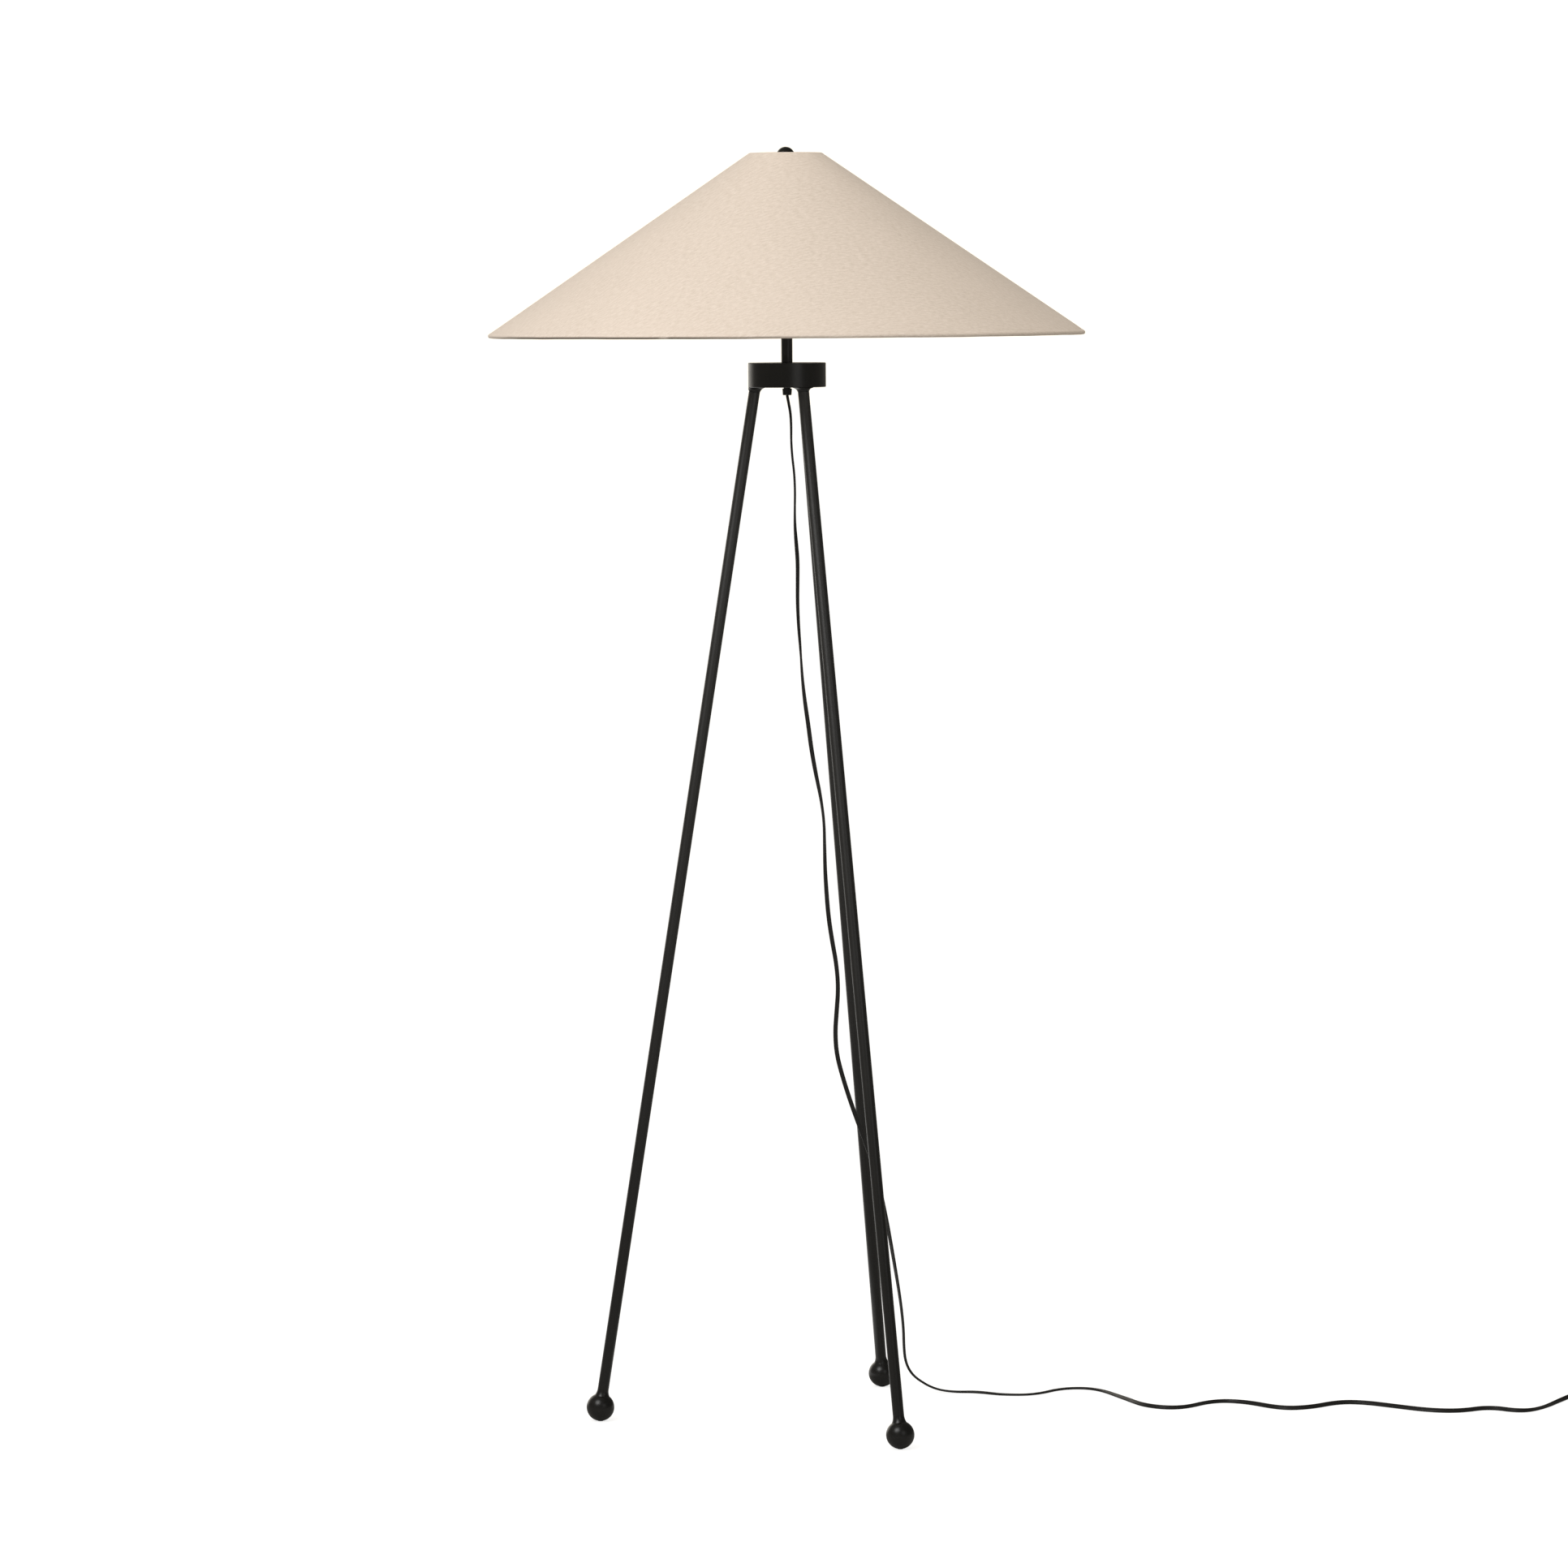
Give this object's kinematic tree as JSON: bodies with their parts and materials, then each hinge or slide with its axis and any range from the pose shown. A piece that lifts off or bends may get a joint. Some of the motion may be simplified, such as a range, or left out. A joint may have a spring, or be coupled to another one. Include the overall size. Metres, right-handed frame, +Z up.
{
  "type": "tripod floor lamp",
  "caption": "Floor lamp on splayed tube legs with ball feet under a round hub, with a wide low cone shade in linen, a harp, a screw-in bulb and a flat supply cord.",
  "frame": {"origin": "on the floor, on the lamp's axis below the hub", "axes": "+Z up; -Y is the front; one leg points along -X"},
  "size_m": [1.3424, 0.674, 1.45],
  "materials": {
    "black_metal": "satin black powder coat",
    "zinc_steel": "zinc plated",
    "foot_rubber": "matte",
    "black_nylon": "moulded",
    "cord_vinyl": "soft vinyl",
    "brass_metal": "bright",
    "holder_paper": "fibre paper",
    "holder_core": "phenolic",
    "bulb_metal": "plain",
    "bulb_black": "glossy",
    "frosted_glass": "frosted white",
    "linen": "linen weave",
    "shade_styrene": "matte white",
    "shade_wire": "white coated"
  },
  "bodies": {
    "stand": {"ball_foot_front": "black_metal", "ball_foot_left": "black_metal", "ball_foot_rear": "black_metal", "centre_contact": "brass_metal", "cord_coil": "cord_vinyl", "cord_grip": "black_nylon", "cord_tie": "black_nylon", "foot_pad_front": "foot_rubber", "foot_pad_left": "foot_rubber", "foot_pad_rear": "foot_rubber", "foot_studs": "zinc_steel", "harp_bow": "black_metal", "harp_saddle": "black_metal", "harp_stud": "zinc_steel", "hub_body": "black_metal", "hub_plate": "black_metal", "hub_screws": "zinc_steel", "inner_lead": "cord_vinyl", "lamp_pipe": "zinc_steel", "lead_tails": "cord_vinyl", "leg_foot_inserts": "zinc_steel", "leg_socket_front": "black_metal", "leg_socket_left": "black_metal", "leg_socket_rear": "black_metal", "leg_studs": "zinc_steel", "leg_top_inserts": "zinc_steel", "leg_tube_front": "black_metal", "leg_tube_left": "black_metal", "leg_tube_rear": "black_metal", "pipe_nut": "zinc_steel", "pipe_washer": "zinc_steel", "plug_blades": "brass_metal", "plug_body": "cord_vinyl", "screw_shell": "brass_metal", "socket_cap": "black_metal", "socket_core": "holder_core", "socket_paper": "holder_paper", "socket_shell": "black_metal", "stem_tube": "black_metal", "supply_cord": "cord_vinyl", "terminal_screws": "brass_metal"},
    "shade": {"shade_cover": "linen", "shade_liner": "shade_styrene", "shade_bottom_ring": "shade_wire", "shade_spider": "shade_wire"},
    "finial": {"finial": "black_metal"},
    "bulb": {"bulb_contact": "brass_metal", "bulb_insulator": "bulb_black", "bulb_base": "bulb_metal", "bulb_glass": "frosted_glass"},
    "switch": {"switch_spindle": "brass_metal", "switch_knob": "black_nylon"},
    "sleeve_left": {"harp_sleeve_left": "black_metal"},
    "sleeve_right": {"harp_sleeve_right": "black_metal"}
  },
  "joints": [
    {"name": "shade_turn", "type": "hinge", "parent": "stand", "child": "shade", "pos_m": [0, 0, 1.4236], "axis": [0, 0, 1], "continuous": true},
    {"name": "finial_turn", "type": "hinge", "parent": "stand", "child": "finial", "pos_m": [0, 0, 1.4248], "axis": [0, 0, 1], "continuous": true},
    {"name": "bulb_turn", "type": "hinge", "parent": "stand", "child": "bulb", "pos_m": [0, 0, 1.2776], "axis": [0, 0, 1], "continuous": true},
    {"name": "switch_turn", "type": "hinge", "parent": "stand", "child": "switch", "pos_m": [0, -0.0174, 1.2716], "axis": [0, -1, 0], "continuous": true},
    {"name": "sleeve_left_lift", "type": "slide", "parent": "stand", "child": "sleeve_left", "axis": [0, 0, 1], "range_m": [0, 0.012]},
    {"name": "sleeve_right_lift", "type": "slide", "parent": "stand", "child": "sleeve_right", "axis": [0, 0, 1], "range_m": [0, 0.012]}
  ]
}
